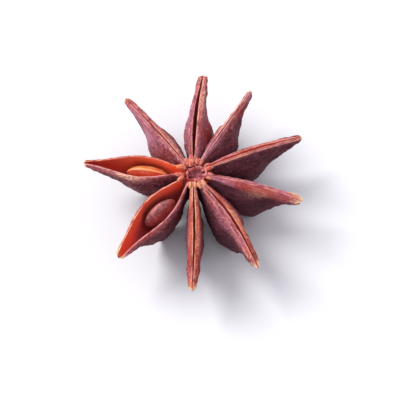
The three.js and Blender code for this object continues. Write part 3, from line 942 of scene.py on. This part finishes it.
def lip_color(paint, color):
    """The lips over the wall, mauve or orange, with bright specks and dark streaks."""
    lips = paint.mix(LIPS.mauve, LIPS.orange, paint.warm)
    lips = paint.over(lips, paint.bright, paint.speck, 0.48, 0.66, 0.75)
    lips = paint.over(lips, LIPS.streak, paint.streak, 0.5, 0.64, 0.75)
    return paint.mix(color, lips, paint.fact("lip"))


def patch_color(paint, color):
    """Lilac, red and tan patches over the lips and walls."""
    lilac = paint.over(PATCHES.lilac, PATCHES.lilac_speck, paint.speck, 0.36, 0.6)
    color = paint.mix(color, lilac, paint.times(paint.fact("lilac"), 0.75))
    red = paint.times(paint.fact("red"), paint.step(paint.blotch, 0.3, 0.55))
    color = paint.mix(color, PATCHES.red, paint.times(red, 0.8))
    tan = paint.mix(PATCHES.mauve_speck, PATCHES.orange_speck, paint.warm)
    tan = paint.over(PATCHES.tan, tan, paint.speck, 0.36, 0.56)
    return paint.over(color, tan, paint.blotch, 0.2, 0.5, paint.fact("tan"))


def edge_color(paint, color):
    """The bright edges of the lips, partly pale skin and partly painted highlight, with a painted
    highlight along some outer shoulders, broken up by the streaks, and the cream tips.
    """
    # the lips' bright edges, partly pale skin and partly painted highlight, and the painted highlight
    # along their outer shoulders
    edges = paint.math("MAXIMUM", paint.fact("edge"), paint.fact("line"))
    color = paint.over(color, paint.bright, paint.streak, 0.66, 0.44, edges)
    cream = paint.math("MULTIPLY_ADD", paint.math("SUBTRACT", paint.streak, 0.5), 1.4, paint.fact("pale"))
    return paint.over(color, LIPS.cream, cream, 0.4, 0.8)


def inside_color(paint, color):
    """Open carpels: orange-red inside, raised by painted light where glow is high, dull lower down and tan
    at the tip. Slits: red to brown, with painted shade towards their floor.
    """
    # painted light: the inside brighter and more orange where glow is high
    shell = paint.mix(INSIDE.shell, INSIDE.glow, paint.fact("glow"))
    shell = paint.mix(shell, INSIDE.deep, paint.fact("deep"))
    shell = paint.over(shell, INSIDE.tip, paint.fact("pale"), 0.1, 0.6)
    red = paint.fact("slit")
    slit = paint.mix(INSIDE.slit, INSIDE.red_slit, red)
    # painted shade: the red slit darker towards its floor
    slit = paint.over(slit, INSIDE.shaded_red_slit, paint.fact("down"), 0.02, 0.07, red)
    return paint.mix(color, paint.mix(slit, shell, paint.fact("open")), paint.fact("inside"))


def knob_color(paint, color):
    """The lumps that the lips end in: cream at the front, and rose to orange elsewhere."""
    knobs = paint.mix(HUB.knob, HUB.warm_knob, paint.fact("warm"))
    knobs = paint.mix(knobs, HUB.cream, paint.times(paint.fact("cream"), 0.75))
    knobs = paint.over(knobs, HUB.speck, paint.speck, 0.46, 0.62, 0.6)
    knobs = paint.over(knobs, HUB.streak, paint.streak, 0.46, 0.34, 0.6)
    return paint.mix(color, knobs, paint.fact("knob"))


def cup_color(paint, color):
    """The hub's thin pink rim, the red pits outside it and the brown cup inside, with pale flakes; rim and
    cup are painted lighter where they stand high and darker where low, as painted highlight and shade.
    """
    color = paint.over(color, HUB.pit, paint.streak, 0.65, 0.4, paint.fact("pit"))
    ridge = paint.fact("ridge")
    # painted highlight: the rim lighter where it stands high
    color = paint.mix(color, paint.over(HUB.rim, HUB.highlit_rim, ridge, -0.4, 0.5), paint.fact("rim"))
    # painted highlight and shade: the cup lighter on high flakes and darker in the low parts
    cup = paint.over(HUB.cup, HUB.highlit_cup, ridge, -0.7, 0.9)
    cup = paint.over(cup, HUB.flake, paint.speck, 0.5, 0.66, 0.7)
    return paint.mix(color, cup, paint.fact("cup"))


def pod_material():
    """The pod's skin: dull outside and glossy inside the open carpels."""
    paint = PodPaint()
    color = wall_color(paint)
    for layer in (lip_color, patch_color, edge_color, inside_color, knob_color, cup_color):
        color = layer(paint, color)
    glossy = paint.times(paint.fact("inside"), paint.fact("open"))
    rough = paint.node("MapRange", {"Value": glossy, "To Min": 0.5, "To Max": 0.25})
    relief = paint.plus(paint.times(paint.streak, 0.6), paint.times(paint.speck, 0.4))
    paint.set(Base_Color=color, Roughness=rough, Normal=paint.bump(relief, 0.06 * MM, 0.6),
              Specular_IOR_Level=0.03, Subsurface_Weight=0.35, Subsurface_Scale=0.8 * MM,
              Subsurface_Radius=(1.0, 0.25, 0.15))
    return paint.material


def seed_material(seed):
    """A seed's coat: a colour for each flat side, one lighter than the other, partly its own tones and
    partly painted light and shade, with clouds, flecks and the rim between them, painted as a highlight.
    """
    paint = Paint(seed["coat"])
    coat = COATS[seed["coat"]]
    gloss = seed["gloss"]
    cloud = paint.noise((1.3, 1.8, 1.8), 4)
    fleck = paint.noise((2.6, 3.2, 3.2), 4, 0.7)
    # one flat side lighter than the other: partly the coat's own tones, partly painted light and shade
    color = paint.mix(coat.upper, coat.lower, paint.fact("face"))
    color = paint.over(color, coat.cloud, cloud, 0.44, 0.6, 0.85)
    color = paint.over(color, coat.rim, fleck, 0.48, 0.64, 0.5 - 0.4 * gloss)
    # painted highlight along the seed's rim
    color = paint.over(color, coat.rim, paint.fact("on_rim"), 0.3, 0.9)
    paint.set(Base_Color=color, Roughness=0.62 - 0.3 * gloss,
              Normal=paint.bump(paint.noise((3, 3, 3), 2), 0.03 * MM, 0.3))
    return paint.material


def floor_material():
    """A matt, very slightly mottled pale grey."""
    paint = Paint("pale_table")
    grain = paint.node("TexNoise", {"Scale": 300.0, "Detail": 2.0}, "Fac")
    color = paint.mix(TABLE.low, TABLE.high, grain)
    paint.set(Base_Color=color, Roughness=0.7, Specular_IOR_Level=0.1)
    return paint.material


# ---- Floor, lights and camera ----

def make_floor():
    x = y = FLOOR_REACH
    floor = mesh_object("floor", [(-x, -y, 0), (x, -y, 0), (x, y, 0), (-x, y, 0)], [[0, 1, 2, 3]])
    floor.data.materials.append(floor_material())


def make_sky():
    """An even pale light from all round."""
    world = bpy.data.worlds.new("studio")
    bpy.context.scene.world = world
    world.use_nodes = True
    background = world.node_tree.nodes["Background"]
    background.inputs["Color"].default_value = SKY
    background.inputs["Strength"].default_value = WORLD_STRENGTH


def make_sun():
    """One large soft light from the back left."""
    light = bpy.data.lights.new("key", "SUN")
    light.energy = SUN_STRENGTH
    light.angle = math.radians(SUN_SOFTNESS)
    azimuth, height = math.radians(SUN_AZIMUTH), math.radians(SUN_HEIGHT)
    towards = Vector((
        math.cos(height) * math.cos(azimuth), math.cos(height) * math.sin(azimuth), math.sin(height)))
    scene_object("key", light).rotation_euler = towards.to_track_quat("Z", "Y").to_euler()


def make_camera():
    """A camera above the front of the pod, turned so that the hub falls on its place in the picture."""
    focal_pixels = PIXELS_PER_MM * CAMERA_DISTANCE
    data = bpy.data.cameras.new("camera")
    data.sensor_width = SENSOR_WIDTH
    data.lens = focal_pixels / PICTURE * SENSOR_WIDTH
    slope, roll = math.radians(CAMERA_SLOPE), math.radians(CAMERA_ROLL)
    back = Vector((0, -math.sin(slope), math.cos(slope)))
    upright = Vector((0, math.cos(slope), math.sin(slope)))
    right = Vector((1, 0, 0)) * math.cos(roll) + upright * math.sin(roll)
    facing = Matrix((right, back.cross(right), back)).transposed()
    yaw = math.atan2(HUB_PIXEL[0] - PICTURE / 2, focal_pixels)
    pitch = math.atan2(HUB_PIXEL[1] - PICTURE / 2, focal_pixels)
    aim = Matrix.Rotation(pitch, 3, "X") @ Matrix.Rotation(yaw, 3, "Y")
    place = Vector((*AXIS, SUTURE_HEIGHT)) + back * CAMERA_DISTANCE
    camera = scene_object("camera", data)
    camera.matrix_world = Matrix.Translation(place * MM) @ (facing @ aim).to_4x4()
    bpy.context.scene.camera = camera


def main():
    pod = make_pod()
    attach(pod, "root")
    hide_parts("pod")
    for carpel in filter(is_open, CARPELS):
        node = carpel["seed"]["name"]
        seed = make_seed(carpel, node + "_glossy")
        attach(seed, "root")
        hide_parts(node)
    make_floor()
    make_sky()
    make_sun()
    make_camera()
    bpy.context.scene.view_settings.view_transform = "Standard"


main()
